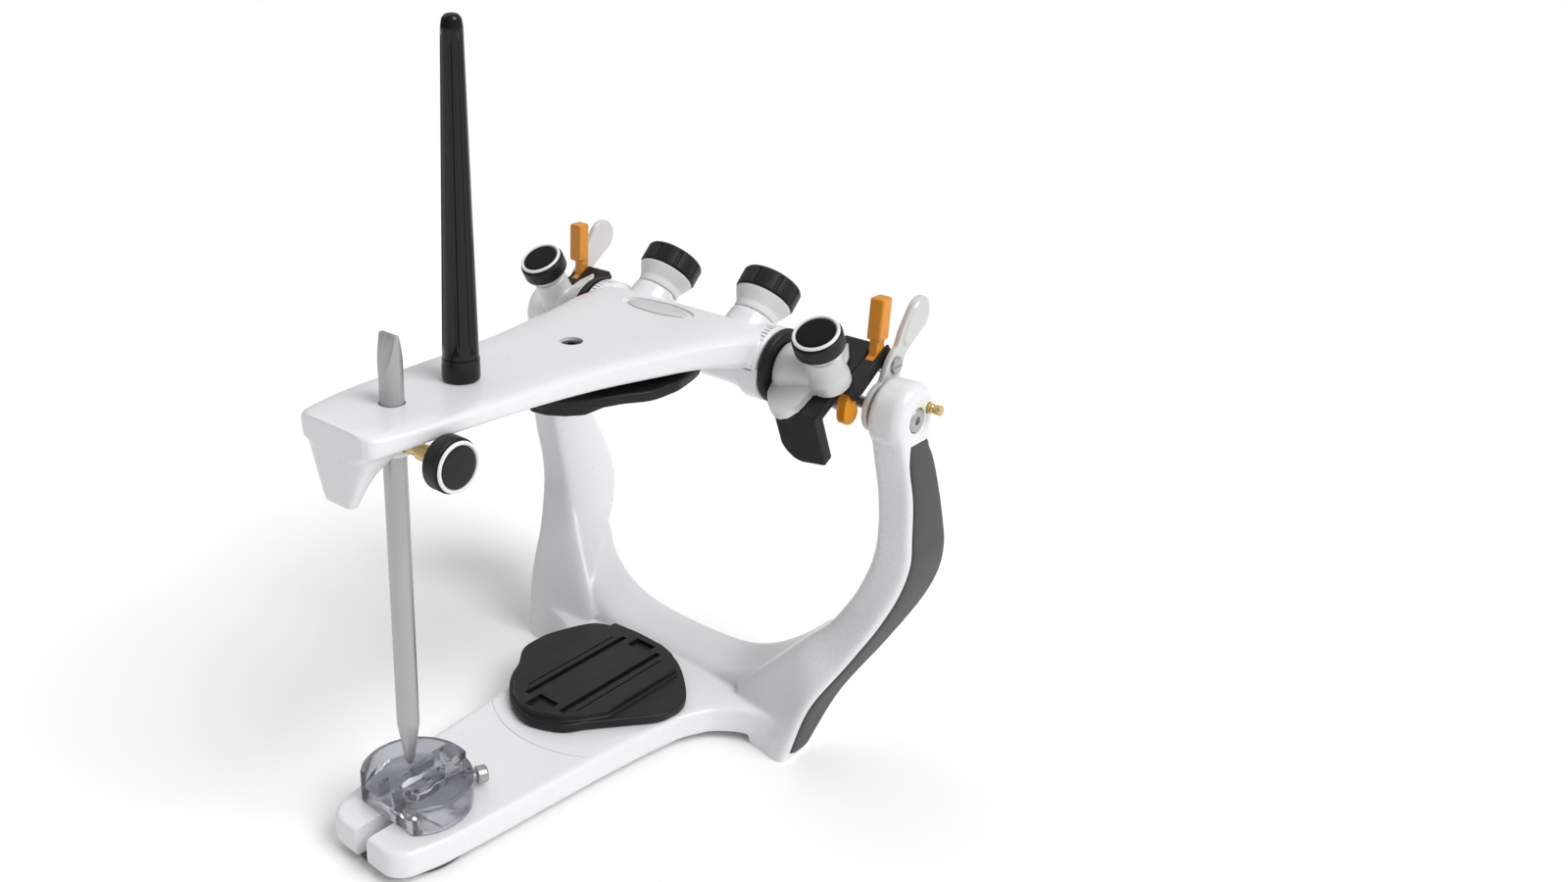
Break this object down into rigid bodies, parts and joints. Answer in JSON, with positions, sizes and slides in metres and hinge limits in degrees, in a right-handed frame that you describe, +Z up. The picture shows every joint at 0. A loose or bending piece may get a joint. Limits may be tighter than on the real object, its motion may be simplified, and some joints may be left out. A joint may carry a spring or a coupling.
{
  "type": "dental articulator",
  "caption": "Semi-adjustable dental articulator: white cast frames, hinged upper arm, condylar guides with clamp knobs, incisal pin and table, black mounting plates and support post.",
  "frame": {"origin": "centre of the footprint on the bench: middle of the overall width and depth, at the height of the feet", "axes": "+Z up, -Y towards the front (incisal pin side), +X to the right when seen from the front, the side of the pin screw"},
  "size_m": [0.1744, 0.1916, 0.2522],
  "materials": {
    "white_cast": "smooth white powder coat, soft gloss",
    "black_plastic": "fine satin moulded black",
    "black_gloss": "polished black",
    "grip_rubber": "fine matt grey rubber",
    "silver_paint": "light grey die cast, satin",
    "steel": "fine brushed steel",
    "brass": "turned brass, gold flash",
    "amber_plastic": "amber moulded plastic",
    "smoke_clear": "smoky clear acrylic",
    "white_plastic": "white moulded plastic"
  },
  "bodies": {
    "lower": {"lower_frame": "white_cast", "lower_mounting_plate": "black_plastic", "lower_plate_screw": "steel", "grip_pad_r": "grip_rubber", "grip_pad_l": "grip_rubber", "condyle_r": "steel", "condyle_l": "steel", "condyle_set_screw_r": "silver_paint", "condyle_set_screw_l": "silver_paint", "facebow_stub_r": "brass", "facebow_stub_l": "brass"},
    "upper": {"upper_frame": "white_cast", "upper_mounting_plate": "black_plastic", "upper_plate_screw": "black_plastic", "support_post": "black_gloss"},
    "pin": {"incisal_pin": "steel"},
    "pin_screw": {"pin_screw_shaft": "brass", "pin_screw_knob": "black_plastic", "pin_screw_cap": "white_plastic"},
    "table": {"incisal_table": "smoke_clear", "table_clamp_bolt": "steel"},
    "table_nut": {"table_clamp_nut": "grip_rubber"},
    "table_side_screw": {"table_screw": "steel"},
    "lever_r": {"latch_lever_r": "silver_paint", "lever_screw_r": "steel"},
    "rear_screw_r": {"rear_knob_neck_r": "white_plastic", "rear_knob_cap_r": "black_plastic"},
    "carrier_r": {"inclination_shaft_r": "black_plastic", "inclination_collar_r": "black_plastic", "clamp_bracket_r": "silver_paint"},
    "bennett_screw_r": {"bennett_knob_shank_r": "silver_paint", "bennett_knob_r": "black_plastic", "bennett_knob_cap_r": "white_plastic"},
    "guide_r": {"condylar_guide_r": "black_plastic", "lock_cover_r": "black_plastic", "lock_pivot_r": "steel"},
    "lock_r": {"centric_lock_r": "amber_plastic"},
    "lever_l": {"latch_lever_l": "silver_paint", "lever_screw_l": "steel"},
    "rear_screw_l": {"rear_knob_neck_l": "white_plastic", "rear_knob_cap_l": "black_plastic"},
    "carrier_l": {"inclination_shaft_l": "black_plastic", "inclination_collar_l": "black_plastic", "clamp_bracket_l": "silver_paint"},
    "bennett_screw_l": {"bennett_knob_shank_l": "silver_paint", "bennett_knob_l": "black_plastic", "bennett_knob_cap_l": "white_plastic"},
    "guide_l": {"condylar_guide_l": "black_plastic", "lock_cover_l": "black_plastic", "lock_pivot_l": "steel"},
    "lock_l": {"centric_lock_l": "amber_plastic"}
  },
  "joints": [
    {"name": "opening", "type": "hinge", "parent": "lower", "child": "upper", "pos_m": [0, 0.0681, 0.128], "axis": [-1, 0, 0], "range_deg": [0, 180]},
    {"name": "pin_height", "type": "slide", "parent": "upper", "child": "pin", "axis": [0, 0, 1], "range_m": [-0.003, 0.015]},
    {"name": "pin_screw_turn", "type": "hinge", "parent": "upper", "child": "pin_screw", "pos_m": [0.01, -0.0744, 0.1397], "axis": [1, 0, 0], "continuous": true},
    {"name": "table_travel", "type": "slide", "parent": "lower", "child": "table", "axis": [0, 1, 0], "range_m": [-0.012, 0.008]},
    {"name": "table_nut_turn", "type": "hinge", "parent": "table", "child": "table_nut", "pos_m": [0, -0.0744, 0.001], "axis": [0, 0, 1], "continuous": true},
    {"name": "table_side_screw_turn", "type": "hinge", "parent": "table", "child": "table_side_screw", "pos_m": [0.0074, -0.055, 0.0174], "axis": [0.4067, 0.9135, 0], "continuous": true},
    {"name": "lever_turn_r", "type": "hinge", "parent": "lower", "child": "lever_r", "pos_m": [0.0685, 0.0681, 0.128], "axis": [1, 0, 0], "range_deg": [-25, 35]},
    {"name": "rear_screw_turn_r", "type": "hinge", "parent": "upper", "child": "rear_screw_r", "pos_m": [0.0211, 0.0542, 0.1382], "axis": [0, 0.7071, 0.7071], "continuous": true},
    {"name": "inclination_r", "type": "hinge", "parent": "upper", "child": "carrier_r", "pos_m": [0.04, 0.0542, 0.1382], "axis": [1, 0, 0], "range_deg": [-30, 30]},
    {"name": "bennett_screw_turn_r", "type": "hinge", "parent": "carrier_r", "child": "bennett_screw_r", "pos_m": [0.0589, 0.0542, 0.1382], "axis": [0, -0.5, 0.866], "continuous": true},
    {"name": "bennett_angle_r", "type": "hinge", "parent": "carrier_r", "child": "guide_r", "pos_m": [0.0589, 0.0542, 0.1382], "axis": [0, -0.5, 0.866], "range_deg": [0, 15]},
    {"name": "centric_lock_turn_r", "type": "hinge", "parent": "guide_r", "child": "lock_r", "pos_m": [0.0649, 0.07503, 0.14053], "axis": [-1, 0, 0], "range_deg": [-20, 0]},
    {"name": "lever_turn_l", "type": "hinge", "parent": "lower", "child": "lever_l", "pos_m": [-0.0685, 0.0681, 0.128], "axis": [1, 0, 0], "range_deg": [-25, 35]},
    {"name": "rear_screw_turn_l", "type": "hinge", "parent": "upper", "child": "rear_screw_l", "pos_m": [-0.0211, 0.0542, 0.1382], "axis": [0, 0.7071, 0.7071], "continuous": true},
    {"name": "inclination_l", "type": "hinge", "parent": "upper", "child": "carrier_l", "pos_m": [-0.04, 0.0542, 0.1382], "axis": [1, 0, 0], "range_deg": [-30, 30]},
    {"name": "bennett_screw_turn_l", "type": "hinge", "parent": "carrier_l", "child": "bennett_screw_l", "pos_m": [-0.0589, 0.0542, 0.1382], "axis": [0, -0.5, 0.866], "continuous": true},
    {"name": "bennett_angle_l", "type": "hinge", "parent": "carrier_l", "child": "guide_l", "pos_m": [-0.0589, 0.0542, 0.1382], "axis": [0, 0.5, -0.866], "range_deg": [0, 15]},
    {"name": "centric_lock_turn_l", "type": "hinge", "parent": "guide_l", "child": "lock_l", "pos_m": [-0.0649, 0.07503, 0.14053], "axis": [-1, 0, 0], "range_deg": [-20, 0]}
  ]
}
